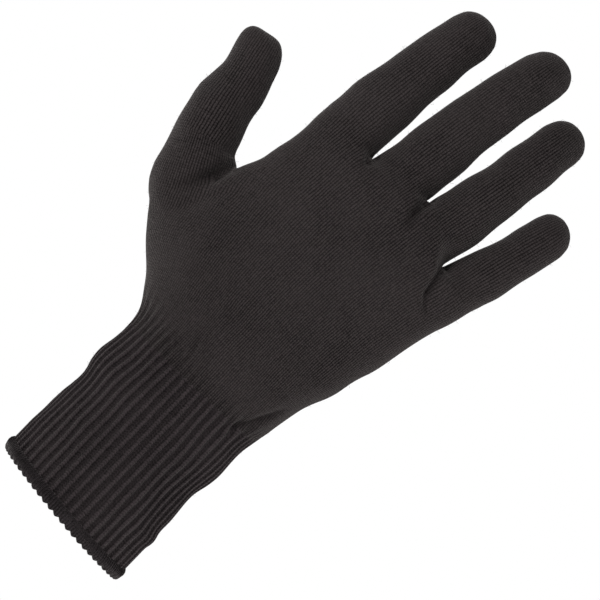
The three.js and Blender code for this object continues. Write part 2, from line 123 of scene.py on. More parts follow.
# Cuff
RIBS = 48
RIB_STEPS = 10  # points across a rib
RIB_HEIGHT = 0.95 * MM
RIB_MIDDLE = 0.4  # share of a rib's height that stands out of the smooth form
VALLEY_POWER = 1.15  # above 1 a valley is narrower than a rib
VALLEY_SHADE = 0.58  # painted shade in a rib's valley, where 1 is that of the deepest fold
RIB_FADE = 11 * MM
FADE_HALF = 0.6  # the ribs fade from this share of RIB_FADE below their end to the same above
RIB_RISE = 4 * MM  # how far past the cuff the ribs start to fade
RIB_RISE_SIDE = 7 * MM  # and how much further on the thumb's side
COLUMNS_A_RIB = 2
CUFF_ROWS = 70
TURNS_BELOW = 20 * MM  # the ribs are spaced evenly this far below the cuff's top
FINE_TURNS = 361  # points round the cuff from which an even spacing is worked out
SKIN_LOW = CUFF_LOW.z + 12 * MM  # below this the cuff runs straight down
RAY_REACH = 60  # well outside the cuff, in millimetres
HAIR = 0.02 * MM  # keeps a ray off the seam

# Overlocked edge
HEM_SLANT = math.radians(6.3)
WELT_LOW = 0.24 * MM
WELT_HEIGHT = 5.2 * MM
WELT_OUT = 1.25 * MM
WELT_IN = 1.3 * MM
WELT_STEPS = 20
WELT_ROWS = 12  # rows of stitches round the roll
CUFF_START = WELT_HEIGHT * 0.55  # the cuff's lowest row is hidden in the edge
SCALLOPS = 54
SCALLOP_STEPS = 8
SCALLOP_DEPTH = 0.9 * MM
SCALLOP_POWER = 1.4
STITCHES_A_SCALLOP = 3
STITCHES = STITCHES_A_SCALLOP * SCALLOPS
STITCH_HEIGHT = 3.9 * MM
STITCH_THREAD = 0.19 * MM
STITCH_LEAN = math.radians(9)
STITCH_SLACK = (1.02, 1.04)  # a loop is this much taller and wider than the edge
STITCH_CORNERS = 12
THREAD_SIDES = 5

# Loose fibres
FIBRES_A_SQUARE_METRE = 52000.0
FIBRE_LENGTH = 1.5 * MM
FIBRE_SCALE = (0.45, 1.15)  # shortest and longest share of that length
FIBRE_THREAD = 0.028 * MM
FIBRE_SIDES = 3
FIBRE_STEPS = 3
FIBRE_ROOT = 0.4 * MM  # a fibre starts this far under the surface
FIBRE_BEND = 0.55  # height of its bend and reach of its tip, as shares of its length
FIBRE_RISE = 0.6  # and its tip's height
FIBRE_SWING = 1.1  # greatest tilt, in radians
FIBRE_SEED = 5

# Finishes. A scale counts the noise's cells in a metre.
# The darkest knit colour: the yarn's own black, with painted shade in the furrows between stitches
DARK_YARN_AND_FURROW_SHADE = (0.0035, 0.003, 0.003)
COLUMN_STRAY = (420.0, 0.3)  # scale, and how far a column strays, in columns
ROW_STRAY = (300.0, 0.5)
NAP_SCALE = 1350.0
NAP_BAND = (0.36, 0.64)
TUFT_SCALE = 640.0
PATCH_SCALE = 42.0
PATCH_BAND = (0.3, 0.7)
TWIST_SCALE = 2600.0
TWIST_BAND = (0.35, 0.68)
TWIST_DEPTH = 0.08 * MM
STITCH_SLANT = 0.55  # how much later a stitch's outer end comes than its root, in rows
FURROW_WIDTH = 0.3  # of the column's middle line, as a share of half a column
FURROW_DEPTH = 0.15
STITCH_PART, NAP_PART, TUFT_PART = 0.75, 0.3, 0.35  # what each adds to the height
SHADE_BAND = (0.32, 1.2)  # heights of the darkest and the lightest yarn; where the knit lies low the colour is painted shade
WORN_PART, WORN_LIGHT = 0.2, 1.15  # share of the worn tone, and that tone to the light yarn
CREASE_SHADE_PART, CREASE_SHADE_DARK = 0.85, 0.8  # the same for the painted shade in a fold, and the dark yarn
KNIT_ROUGH, YARN_ROUGH, ROUGH_DROP = 0.98, 0.95, 0.1
KNIT_SHEEN, SHEEN_ROUGH, SHEEN_TINT = 0.14, 0.35, (1, 0.93, 0.9, 1)
SPECULAR = 0.04

# Camera and studio
CAMERA_LENS = 195
CAMERA_SENSOR = 36
CAMERA_CLIP = (0.05, 20)
CAMERA_ROLL = math.radians(44)
CAMERA_PLACE = Vector((0.0088, -1.18, 0.1164))
FLOOR_HEIGHT = -0.3
FLOOR_RADIUS = 0.9
FLOOR_SIDES = 96
FLOOR_GREY = (0.86, 0.86, 0.86, 1)
FLOOR_ROUGH = 0.8
ROOM_LIGHT = 0.4  # how much the surroundings light the object, to what the camera sees of them

# Each lamp's place from the middle of the hand, power in watts and width
LAMPS = {
    "key": ((-0.6, -0.7, 0.3), 8, 0.5),
    "fill": ((0.3, -0.9, -0.3), 2.5, 0.7),
    "rim": ((0.75, -0.12, -0.3), 5, 0.4),
    "behind": ((-0.4, 0.9, 0.3), 9, 0.8),
}

# Centre of a digit's rim, direction across its cut, direction to its tip, and its length
Axis = namedtuple("Axis", "centre square along length")


class Value:
    """A socket with arithmetic: each operator adds a Math node."""

    def __init__(self, nodes, socket):
        self.nodes = nodes
        self.socket = socket

    def __add__(self, other):
        return self.nodes.math("ADD", self, other)

    def __sub__(self, other):
        return self.nodes.math("SUBTRACT", self, other)

    def __rsub__(self, other):
        return self.nodes.math("SUBTRACT", other, self)

    def __mul__(self, other):
        return self.nodes.math("MULTIPLY", self, other)

    def __pow__(self, other):
        return self.nodes.math("POWER", self, other)


class Nodes:
    """A node tree under construction."""

    def __init__(self, tree):
        self.tree = tree

    def node(self, kind, settings=None, sockets=None):
        """Adds a node, sets it, then gives its sockets their values or links."""
        made = self.tree.nodes.new(kind)
        for key, value in (settings or {}).items():
            setattr(made, key, value)
        for key, value in (sockets or {}).items():
            self.feed(made.inputs[key], value)
        return made

    def feed(self, socket, value):
        if isinstance(value, Value):
            self.tree.links.new(value.socket, socket)
        elif isinstance(value, bpy.types.NodeSocket):
            self.tree.links.new(value, socket)
        else:
            socket.default_value = value

    def math(self, operation, first, second=None):
        given = {0: first} if second is None else {0: first, 1: second}
        made = self.node("ShaderNodeMath", {"operation": operation}, given)
        return Value(self, made.outputs[0])

    def band(self, value, low, high):
        """0 below low and 1 above high, eased between."""
        made = self.node(
            "ShaderNodeMapRange", {"interpolation_type": "SMOOTHSTEP"},
            {"Value": value, "From Min": low, "From Max": high},
        )
        return Value(self, made.outputs["Result"])

    def attribute(self, name):
        """A number that the piece carries at each point."""
        made = self.node("GeometryNodeInputNamedAttribute", None, {"Name": name})
        return Value(self, made.outputs["Attribute"])


class Growth(Nodes):
    """A geometry tree with named sizes, which takes a mesh and a material."""

    def __init__(self, name, sizes):
        super().__init__(bpy.data.node_groups.new(name, "GeometryNodeTree"))
        face = self.tree.interface
        face.new_socket(name="Geometry", in_out="INPUT", socket_type="NodeSocketGeometry")
        for label, value in sizes.items():
            kind = "NodeSocketInt" if isinstance(value, int) else "NodeSocketFloat"
            face.new_socket(name=label, in_out="INPUT", socket_type=kind)
        face.new_socket(name="Material", in_out="INPUT", socket_type="NodeSocketMaterial")
        face.new_socket(name="Geometry", in_out="OUTPUT", socket_type="NodeSocketGeometry")
        self.sizes = sizes
        self.entry = self.tree.nodes.new("NodeGroupInput")

    def size(self, label):
        return Value(self, self.entry.outputs[label])

    def vector(self, **parts):
        return self.node("ShaderNodeCombineXYZ", None, parts).outputs["Vector"]

    def circle(self, sides, radius):
        made = self.node(
            "GeometryNodeCurvePrimitiveCircle", None, {"Resolution": sides, "Radius": radius},
        )
        return made.outputs["Curve"]

    def thread(self, line, sides, capped):
        """A tube along the curve, as thick as the size "Thread" says."""
        made = self.node("GeometryNodeCurveToMesh", None, {
            "Curve": line, "Profile Curve": self.circle(sides, self.size("Thread")),
            "Fill Caps": capped,
        })
        return made.outputs["Mesh"]

    def close(self, geometry):
        """Ends the tree in plain faces with their material."""
        whole = self.node("GeometryNodeRealizeInstances", None, {"Geometry": geometry})
        dressed = self.node(
            "GeometryNodeSetMaterial", None,
            {"Geometry": whole.outputs["Geometry"], "Material": self.entry.outputs["Material"]},
        )
        self.node("NodeGroupOutput", None, {"Geometry": dressed.outputs["Geometry"]})
        return self

    def grow(self, name, mesh, material):
        """The plain mesh that the tree makes from the given one."""
        held = new_object(name, mesh)
        modifier = held.modifiers.new(self.tree.name, "NODES")
        modifier.node_group = self.tree
        given = dict(self.sizes, Material=material)
        for item in self.tree.interface.items_tree:
            if item.in_out == "INPUT" and item.name in given:
                modifier[item.identifier] = given[item.name]
        grown = baked(held, name)
        bpy.data.objects.remove(held)
        return grown


class Paint(Nodes):
    """A material under construction."""

    def __init__(self, name):
        self.material = bpy.data.materials.new(name)
        self.material.use_nodes = True
        super().__init__(self.material.node_tree)
        self.shader = self.tree.nodes["Principled BSDF"]

    def attribute(self, name):
        made = self.node("ShaderNodeAttribute", {"attribute_name": name})
        return Value(self, made.outputs["Fac"])

    def noise(self, vector, scale, detail=3.0, roughness=0.55):
        made = self.node(
            "ShaderNodeTexNoise", None,
            {"Vector": vector, "Scale": scale, "Detail": detail, "Roughness": roughness},
        )
        return Value(self, made.outputs["Fac"])

    def blend(self, share, first, second):
        made = self.node("ShaderNodeMix", {"data_type": "RGBA"}, {0: share, 6: first, 7: second})
        return made.outputs[2]

    def finish(self, colour, rough, height, depth, sheen):
        self.feed(self.shader.inputs["Base Color"], colour)
        self.feed(self.shader.inputs["Roughness"], rough)
        self.shader.inputs["Sheen Weight"].default_value = sheen
        self.shader.inputs["Sheen Roughness"].default_value = SHEEN_ROUGH
        self.shader.inputs["Sheen Tint"].default_value = SHEEN_TINT
        self.shader.inputs["Specular IOR Level"].default_value = SPECULAR
        bump = self.node(
            "ShaderNodeBump", None, {"Height": height, "Distance": depth, "Strength": 1.0},
        )
        self.feed(self.shader.inputs["Normal"], bump.outputs["Normal"])
        return self.material


def knit_height(paint, u, v, rungs, fullness):
    """Height of plain knit: a column of V stitches in each unit of u, a row in each unit of v."""
    across = paint.math("ABSOLUTE", paint.math("FRACT", u) - 0.5) * 2
    rounded = paint.math("MAXIMUM", 1 - across * across, 0) ** fullness
    furrow = 1 - paint.band(across, 0.0, FURROW_WIDTH)
    slanted = paint.math("FRACT", v + across * STITCH_SLANT)
    bulge = paint.math("SINE", slanted * math.pi)
    return rounded * (1 - furrow * FURROW_DEPTH) * (bulge * rungs + (1 - rungs))


def knit_finish(name, dark, light, depth, rungs, fullness):
    """Yarn in columns and rows, with painted shade in its furrows and folds, nap and faint wear.
    """
    paint = Paint(name)
    layer = paint.node("ShaderNodeUVMap", {"uv_map": "Knit"})
    place = paint.node("ShaderNodeTexCoord").outputs["Object"]
    apart = paint.node("ShaderNodeSeparateXYZ", None, {"Vector": layer.outputs["UV"]})
    u, v = (
        Value(paint, apart.outputs[socket]) + (paint.noise(place, scale) - 0.5) * stray
        for socket, (scale, stray) in (("X", COLUMN_STRAY), ("Y", ROW_STRAY))
    )
    stitch = knit_height(paint, u, v, rungs, fullness)
    nap = paint.band(paint.noise(place, NAP_SCALE, detail=4.0, roughness=0.75), *NAP_BAND)
    tufts = paint.noise(place, TUFT_SCALE, roughness=0.6)
    patches = paint.band(paint.noise(place, PATCH_SCALE), *PATCH_BAND)
    height = stitch * STITCH_PART + nap * NAP_PART + tufts * TUFT_PART
    # Painted shade: the colour darkens where the knit's height is low, in the furrows between
    # stitches; nap and tufts add random tone
    shade = paint.band(height, *SHADE_BAND)
    tone = paint.blend(shade, (*dark, 1), (*light, 1))
    lighter = (*[part * WORN_LIGHT for part in light], 1)
    worn = paint.blend(patches * WORN_PART, tone, lighter)
    darker = (*[part * CREASE_SHADE_DARK for part in dark], 1)
    # Painted shade: darker where the folds and the rib valleys press in
    deep = paint.blend(paint.attribute("painted_crease_shade") * CREASE_SHADE_PART, worn, darker)
    return paint.finish(deep, KNIT_ROUGH - shade * ROUGH_DROP, height, depth, KNIT_SHEEN)


def yarn_finish(name, dark, light, sheen):
    """Loose thread: plain yarn with a fine twist of light and dark."""
    paint = Paint(name)
    place = paint.node("ShaderNodeTexCoord").outputs["Object"]
    twist = paint.noise(place, TWIST_SCALE, detail=4.0, roughness=0.65)
    shade = paint.band(twist, *TWIST_BAND)
    tone = paint.blend(shade, (*dark, 1), (*light, 1))
    return paint.finish(tone, YARN_ROUGH - shade * ROUGH_DROP, twist, TWIST_DEPTH, sheen)


def node_mesh(name):
    """Vertices and triangles of a CAD node, with shared vertices merged."""
    merged = bmesh.new()
    merged.from_mesh(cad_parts[name].data)
    bmesh.ops.remove_doubles(merged, verts=merged.verts, dist=SAME_PLACE)
    return merged


def new_object(name, mesh):
    piece = bpy.data.objects.new(name, mesh)
    bpy.context.scene.collection.objects.link(piece)
    return piece


def baked(piece, name):
    """The piece's evaluated mesh as a plain mesh of its own."""
    graph = bpy.context.evaluated_depsgraph_get()
    mesh = bpy.data.meshes.new_from_object(piece.evaluated_get(graph))
    mesh.name = name
    return mesh


def with_modifier(mesh, name, kind, **settings):
    """The mesh after one modifier."""
    held = new_object(name, mesh)
    modifier = held.modifiers.new(name, kind)
    for key, value in settings.items():
        setattr(modifier, key, value)
    changed = baked(held, name)
    bpy.data.objects.remove(held)
    return changed


def read(items, name, width, kind=float):
    """A property of all the items as one array."""
    values = np.empty(len(items) * width, dtype=kind)
    items.foreach_get(name, values)
    return values.reshape(-1, width) if width > 1 else values


def write_points(mesh, points):
    mesh.vertices.foreach_set("co", np.ascontiguousarray(points).ravel())
    mesh.update()


def write_number(mesh, name, values):
    """Gives the mesh a number at each point."""
    layer = mesh.attributes.get(name) or mesh.attributes.new(name, "FLOAT", "POINT")
    layer.data.foreach_set("value", values.astype(np.float32))


def unit(vectors):
    return vectors / np.maximum(np.linalg.norm(vectors, axis=-1, keepdims=True), 1e-12)


def ease(low, high, values):
    """Smooth step from 0 at low to 1 at high."""
    part = np.clip((values - low) / (high - low), 0, 1)
    return part * part * (3 - 2 * part)


def rim_of(part):
    """Centre, outward direction and corners of the flat rim round a part's open lower end."""
    flats = {}
    for face in part.faces:
        if face.normal.z < RIM_FACING:
            level = round(face.normal.dot(face.calc_center_median()) / MM, 1)
            key = tuple(round(value, 2) for value in face.normal) + (level,)
            flats.setdefault(key, []).append(face)
    rim = max(flats.values(), key=lambda faces: sum(face.calc_area() for face in faces))
    area = sum(face.calc_area() for face in rim)
    centre = sum((face.calc_center_median() * face.calc_area() for face in rim), Vector()) / area
    corners = {corner for face in rim for corner in face.verts}
    return centre, rim[0].normal.copy(), corners


def closed_form():
    """One closed skin round the hand and its digits, and each digit's rim plane."""
    joined = bmesh.new()
    found = {}
    for name in ("rib_cuff", "palm") + DIGITS:
        part = node_mesh(name)
        part.normal_update()
        if name in DIGITS:
            centre, outwards, corners = rim_of(part)
            found[name] = (centre, -outwards)
            for corner in corners:
                corner.co += outwards * SEAM_CLOSE
        if name == "rib_cuff":
            for corner in part.verts:
                if corner.co.z > CUFF_HIGH.z - RIM_TOP:
                    corner.co.z += SEAM_CLOSE
        held = bpy.data.meshes.new("held")
        part.to_mesh(held)
        part.free()
        joined.from_mesh(held)
        bpy.data.meshes.remove(held)
    # A plug shuts the cuff, so that the grid fills the hollow above it
    reach = (CUFF_HIGH - CUFF_LOW) / 2 - Vector((1, 1, 0)) * PLUG_INSET
    middle = (CUFF_LOW + CUFF_HIGH) / 2
    place = Matrix.Translation((middle.x, middle.y, CUFF_LOW.z + PLUG_RISE))
    bmesh.ops.create_cone(
        joined, cap_ends=True, segments=PLUG_SIDES, radius1=1, radius2=1, depth=1,
        matrix=place @ Matrix.Diagonal((reach.x, reach.y, PLUG_THICK, 1)),
    )
    for corner in joined.verts:
        corner.co.x *= SLOT_STRETCH
    mesh = bpy.data.meshes.new("form")
    joined.to_mesh(mesh)
    joined.free()
    whole = with_modifier(
        mesh, "Grid", "REMESH", mode="VOXEL", voxel_size=FORM_GRID, adaptivity=0,
    )
    write_points(whole, read(whole.vertices, "co", 3) / np.array([SLOT_STRETCH, 1, 1]))
    return whole, found


class Net:
    """Every point's neighbours and the springs to them."""

    def __init__(self, count, edges, weights):
        ends = np.concatenate([edges, edges[:, ::-1]])
        order = np.argsort(ends[:, 0], kind="stable")
        self.near = ends[order, 1]
        self.weights = np.concatenate([weights, weights])[order]
        degree = np.bincount(ends[:, 0], minlength=count)
        self.starts = np.concatenate([[0], np.cumsum(degree)[:-1]])
        self.heavy = np.add.reduceat(self.weights, self.starts)

    def pull(self, values):
        """How hard the springs pull each point away from its neighbours."""
        wide = values.ndim > 1
        weights = self.weights[:, None] if wide else self.weights
        heavy = self.heavy[:, None] if wide else self.heavy
        return heavy * values - np.add.reduceat(weights * values[self.near], self.starts, axis=0)


def settle(apply, target, start, rounds, enough):
    """Conjugate gradients: values for which apply(values) is the target."""
    values = start.copy()
    rest = target - apply(values)
    heading = rest.copy()
    size = (rest * rest).sum()
    goal = size * enough**2
    for _ in range(rounds):
        pushed = apply(heading)
        step = size / (heading * pushed).sum()
        values += step * heading
        rest -= step * pushed
        fresh = (rest * rest).sum()
        if fresh < goal:
            break
        heading = rest + fresh / size * heading
        size = fresh
    return values


def soften(mesh):
    """Smooths away the CAD's facets and the sharp lines between its forms, without shrinking."""
    points = read(mesh.vertices, "co", 3)
    edges = read(mesh.edges, "vertices", 2, np.int64)
    span = np.linalg.norm(points[edges[:, 0]] - points[edges[:, 1]], axis=1)
    net = Net(len(points), edges, np.clip((FORM_GRID / span) ** 2, *SPRING_RANGE))
    strength = (SOFT_WAVE / (2 * math.pi * FORM_GRID)) ** 4
    # Over the knuckles the hand runs into the fingers without a step
    facing = np.abs(read(mesh.vertex_normals, "vector", 3)[:, 1])
    roots = [rims[name][0] for name in FINGERS]
    web = np.interp(points[:, 0], [root.x for root in roots], [root.z for root in roots])
    rise = points[:, 2] - web
    knuckles = ease(*KNUCKLE_RISE, rise) * (1 - ease(*KNUCKLE_FALL, rise))
    knuckles *= ease(*KNUCKLE_FACING, facing)
    hold = (1 + knuckles * ((SOFT_WAVE / KNUCKLE_WAVE) ** 4 - 1))[:, None]
    middle = points.mean(axis=0)
    spread = points - middle
    smooth = settle(
        lambda values: hold * values + strength * net.pull(net.pull(values)),
        hold * spread, spread, rounds=260, enough=2e-4,
    )
    write_points(mesh, smooth + middle)


def fold_depth(points, normals):
    """How far the folds press each point in; below zero where one stands out."""
    front = ease(*FOLD_FACING, normals[:, 1])
    total = np.zeros(len(points))
    flat = points[:, [0, 2]] / MM
    for width, corners in FOLDS:
        strongest = np.zeros(len(points))
        for (x0, z0, deep0), (x1, z1, deep1) in zip(corners, corners[1:]):
            start, along = np.array([x0, z0]), np.array([x1 - x0, z1 - z0])
            share = np.clip((flat - start) @ along / (along @ along), 0, 1)
            away = np.linalg.norm(flat - start - share[:, None] * along, axis=1)
            press = (deep0 + (deep1 - deep0) * share) * np.exp(-((away / width) ** 2))
            strongest = np.where(np.abs(press) > np.abs(strongest), press, strongest)
        total += strongest
    return total * front * MM


def mark_folds(mesh, points):
    """Tells the finish how deep in a fold each point lies, so that it paints shade into the folds.
    """
    pressed = fold_depth(points, read(mesh.vertex_normals, "vector", 3))
    write_number(mesh, "painted_crease_shade", np.clip(pressed / DEEP_FOLD, 0, 1))


def deepen_slots(mesh):
    """Draws the ends of the slots between the fingers down to where they belong."""
    points = read(mesh.vertices, "co", 3)
    moved = points.copy()
    for x, z, aside, down in SLOT_ENDS:
        away = points[:, [0, 2]] - np.array([x, z]) * MM
        share = np.exp(-(away**2).sum(1) / SLOT_PULL**2)
        moved += share[:, None] * np.array([aside, 0, down]) * MM
    write_points(mesh, moved)


def crumple(mesh):
    """Presses the folds in, and gives the cloth its faint waves."""
    points = read(mesh.vertices, "co", 3)
    normals = read(mesh.vertex_normals, "vector", 3)
    draw = np.random.default_rng(LUMP_SEED)
    lumps = np.zeros(len(points))
    for _ in range(LUMP_WAVES):
        heading = unit(draw.normal(size=3))
        turn, wave = draw.uniform(0, 2 * math.pi), draw.uniform(*LUMP_SPAN) * MM
        lumps += np.sin(points @ heading * 2 * math.pi / wave + turn)
    shift = LUMP * lumps - fold_depth(points, normals)
    write_points(mesh, points + normals * shift[:, None])


def digit_axis(name):
    """Where a digit starts, how it is cut off and where it leads."""
    centre, square = rims[name]
    points = read(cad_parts[name].data.vertices, "co", 3)
    reach = (points - np.array(centre)) @ np.array(square)
    tip = Vector(points[reach > reach.max() * TIP_SHARE].mean(axis=0))
    along = (tip - centre).normalized()
    return Axis(np.array(centre), np.array(square), np.array(along), (tip - centre).length)


def cut_seams(mesh):
    """The skin with edges along every seam."""
    work = bmesh.new()
    work.from_mesh(mesh)
    for name in DIGITS:
        axis = axes[name]
        centre = Vector(axis.centre)
        close = [
            face for face in work.faces
            if (face.calc_center_median() - centre).length < DIGIT_REACH
        ]
        rim = {part for face in close for part in (*face.verts, *face.edges)}
        bmesh.ops.bisect_plane(
            work, geom=close + list(rim),
            plane_co=axis.centre, plane_no=axis.square, dist=SAME_PLACE,
        )
    bmesh.ops.bisect_plane(
        work, geom=work.faces[:] + work.edges[:] + work.verts[:],
        plane_co=(0, 0, CUFF_HIGH.z), plane_no=(0, 0, 1), dist=SAME_PLACE,
    )
    held = bpy.data.meshes.new("cut")
    work.to_mesh(held)
    work.free()
    return held


def face_homes(mesh):
    """Each face's piece: 0 the hand, 1 to 5 the digits, -1 the cuff."""
    middles = read(mesh.polygons, "center", 3)
    homes = np.where(middles[:, 2] > CUFF_HIGH.z, 0, -1)
    nearest = np.full(len(middles), DIGIT_REACH)
    for index, name in enumerate(DIGITS, start=1):
        axis = axes[name]
        offset = middles - axis.centre
        reach = np.clip(offset @ axis.along, 0, axis.length)
        aside = np.linalg.norm(offset - reach[:, None] * axis.along, axis=1)
        inside = (offset @ axis.square > 0) & (aside < nearest)
        homes[inside] = index
        nearest[inside] = aside[inside]
    return homes


def part_of(mesh, homes, home, name):
    """The faces of one piece as a mesh of their own."""
    work = bmesh.new()
    work.from_mesh(mesh)
    work.faces.ensure_lookup_table()
    others = [work.faces[k] for k in np.nonzero(homes != home)[0]]
    bmesh.ops.delete(work, geom=others, context="FACES")
    part = bpy.data.meshes.new(name)
    work.to_mesh(part)
    work.free()
    return part


def palm_flow(points):
    """Which way the columns run on the hand: up, towards each finger, and out beside the thumb."""
    height = ease(CUFF_HIGH.z, WEB_HEIGHT, points[:, 2])
    total = np.zeros(len(points))
    fan = np.zeros_like(points)
    for name in FINGERS:
        share = np.exp(-(((points[:, 0] - axes[name].centre[0]) / FAN_WIDTH) ** 2))
        fan += share[:, None] * axes[name].along
        total += share
    straight = np.array([0.0, 0.0, 1.0])
    flow = straight + (fan / np.maximum(total, 1e-9)[:, None] - straight) * height[:, None]
    top = axes["thumb"].centre[2]
    near_thumb = ease(*THUMB_SIDE, points[:, 0]) * (1 - ease(top, top + THUMB_FADE, points[:, 2]))
    leaning = np.array([-math.sin(THUMB_SIDE_LEAN), 0.0, math.cos(THUMB_SIDE_LEAN)])
    return unit(flow + (leaning - flow) * near_thumb[:, None])


def palm_middle(points):
    """Depth of the hand's middle plane at each point."""
    high = sum(axes[name].centre[1] for name in FINGERS) / len(FINGERS)
    return high * ease(CUFF_HIGH.z, WEB_HEIGHT, points[:, 2])


def lay_knit(mesh, homes):
    """Lays the columns and rows of stitches over the hand and its digits as evenly as it can.

    The back and the palm side are laid one by one, so that the columns run on from the hand into
    the fingers, and meet along the sides. The thumb is laid by itself, as it is knitted on at an
    angle.
    """
    points = read(mesh.vertices, "co", 3)
    normals = read(mesh.vertex_normals, "vector", 3)
    middles = read(mesh.polygons, "center", 3)
    corner = read(mesh.loops, "vertex_index", 1, np.int64)
    first_corner = read(mesh.polygons, "loop_start", 1, np.int64)
    sizes = read(mesh.polygons, "loop_total", 1, np.int64)
    owner = np.repeat(np.arange(len(sizes)), sizes)
    following = np.arange(len(corner)) + 1
    last = first_corner + sizes - 1
    following[last] = first_corner

    home = np.zeros(len(points), dtype=np.int64)
    home[corner] = homes[owner]
    flow = palm_flow(points)
    wale = np.full(len(points), PALM_WALE)
    depth = palm_middle(middles)
    for index, name in enumerate(DIGITS, start=1):
        axis = axes[name]
        here, faces = home == index, homes == index
        flow[here] = axis.along
        reach = (points[here] - axis.centre) @ axis.along / axis.length
        wale[here] = THUMB_WALE if name == "thumb" else np.interp(reach, [0, 1], FINGER_WALES)
        out = (middles[faces] - axis.centre) @ axis.along
        depth[faces] = axis.centre[1] + out * axis.along[1]
    lengthwise = flow - (flow * normals).sum(1)[:, None] * normals
    steady = np.clip(np.linalg.norm(lengthwise, axis=1), LEAST_FLOW, 1)
    lengthwise = unit(lengthwise)
    sideways = np.cross(lengthwise, normals)

    def count_up(labels, heading, pitch, sense, start):
        """Number of stitches passed along the heading, at each corner of each sheet's faces."""
        kept, place = np.unique(corner * SHEETS + labels[owner], return_inverse=True)
        vertex = kept // SHEETS
        first, second = place, place[following]
        a, b = vertex[first], vertex[second]
        weight = ((steady[a] + steady[b]) / 2) ** 2
        passed = ((heading[a] + heading[b]) / 2 * (points[b] - points[a])).sum(1)
        passed /= (pitch[a] + pitch[b]) / 2
        passed *= sense[owner]
        net = Net(len(kept), np.stack([first, second], axis=1), weight)
        push = np.bincount(second, weight * passed, len(kept))
        push -= np.bincount(first, weight * passed, len(kept))
        return settle(net.pull, push, start[vertex], rounds=700, enough=1e-4)[place]

    group = np.where(homes == 1, 1, np.where(homes < 0, 2, 0))
    sheet = group * 2 + (middles[:, 1] > depth)
    # Seen from the back, the columns count up to the right on both sides
    side = np.where(sheet % 2 == 1, -1.0, 1.0)
    course = np.full(len(points), COURSE)
    columns = count_up(sheet, sideways, wale, side, points[:, 0] / PALM_WALE)
    rows = count_up(group, lengthwise, course, np.ones(len(homes)), points[:, 2] / COURSE)
    layer = mesh.uv_layers.new(name="Knit")
    layer.data.foreach_set("uv", np.stack([columns, rows], axis=1).astype(np.float32).ravel())


def cuff_ring(height, turns):
    """Points of the smooth skin round the cuff at one height."""
    middle = Vector((CUFF_MIDDLE.x, 0, height))
    ring = []
    for turn in turns:
        aim = Vector((math.sin(turn), -math.cos(turn), 0))
        ring.append(skin_tree.ray_cast(middle + aim * RAY_REACH * MM, -aim)[0])
    return np.array(ring)


def even_turns(height, count):
    """Turns that stand evenly round the skin at one height."""
    fine = np.linspace(0, 2 * math.pi, FINE_TURNS)
    ring = cuff_ring(height, fine)
    climb = np.concatenate([[0], np.cumsum(np.linalg.norm(np.diff(ring, axis=0), axis=1))])
    return np.interp(np.arange(count) / count * climb[-1], climb, fine)


def grid_mesh(name, rows, round_again):
    """Quads over rows of points that each close round; the last row joins the first if asked."""
    height, count = rows.shape[:2]
    k, j = np.meshgrid(np.arange(height - (not round_again)), np.arange(count), indexing="ij")
    after, above = (j + 1) % count, (k + 1) % height
    low, high = k * count, above * count
    faces = np.stack([low + j, low + after, high + after, high + j], axis=-1)
    mesh = bpy.data.meshes.new(name)
    mesh.from_pydata(rows.reshape(-1, 3).tolist(), [], faces.reshape(-1, 4).tolist())
    mesh.update()
    return mesh


def grid_uv(mesh, count, wide, heights, shift=0.0):
    """Counts the columns and rows of stitches over a grid mesh."""
    point = read(mesh.loops, "vertex_index", 1, np.int64)
    column, row = point % count, point // count
    corner = np.arange(len(point)) % 4
    # The last column's right corners belong to the first column, one turn on
    wraps = ((corner == 1) | (corner == 2)) & (column == 0)
    pairs = np.stack([(column + wraps * count) * wide + shift, heights[row]], axis=1)
    mesh.uv_layers.new(name="Knit").data.foreach_set("uv", pairs.astype(np.float32).ravel())


def rib_marks(mesh, points, share):
    """Tells the ribs where each point is: how far round, and how far above the ribs' end."""
    write_number(mesh, "around", share)
    side = ease(CUFF_MIDDLE.x, CUFF_LOW.x, points[:, 0])
    write_number(mesh, "above", points[:, 2] - CUFF_HIGH.z - RIB_RISE - RIB_RISE_SIDE * side)


def rib_growth():
    """Raises the ribs on a smooth cuff, paints shade into their valleys, and lets them die away on
    the hand.
    """
    growth = Growth("Ribs", {"Ribs": RIBS, "Rib Height": RIB_HEIGHT, "Rib Fade": RIB_FADE})
    turn = growth.attribute("around") * growth.size("Ribs") * (2 * math.pi)
    crest = 0.5 - growth.math("COSINE", turn) * 0.5
    valley = (1 - crest) ** VALLEY_POWER
    fade = growth.size("Rib Fade")
    ribbed = 1 - growth.band(growth.attribute("above"), fade * -FADE_HALF, fade * FADE_HALF)
    lift = growth.size("Rib Height") * (RIB_MIDDLE - valley) * ribbed
    offset = growth.node(
        "ShaderNodeVectorMath", {"operation": "SCALE"},
        {"Vector": growth.node("GeometryNodeInputNormal").outputs["Normal"], "Scale": lift},
    )
    # Painted shade in the rib valleys, kept together with that of the folds
    dark = growth.math("MAXIMUM", growth.attribute("painted_crease_shade"), valley * ribbed * VALLEY_SHADE)
    marked = growth.node(
        "GeometryNodeStoreNamedAttribute", {"data_type": "FLOAT", "domain": "POINT"},
        {"Geometry": growth.entry.outputs["Geometry"], "Name": "painted_crease_shade", "Value": dark},
    )
    raised = growth.node(
        "GeometryNodeSetPosition", None,
        {"Geometry": marked.outputs["Geometry"], "Offset": offset.outputs["Vector"]},
    )
    return growth.close(raised.outputs["Geometry"])


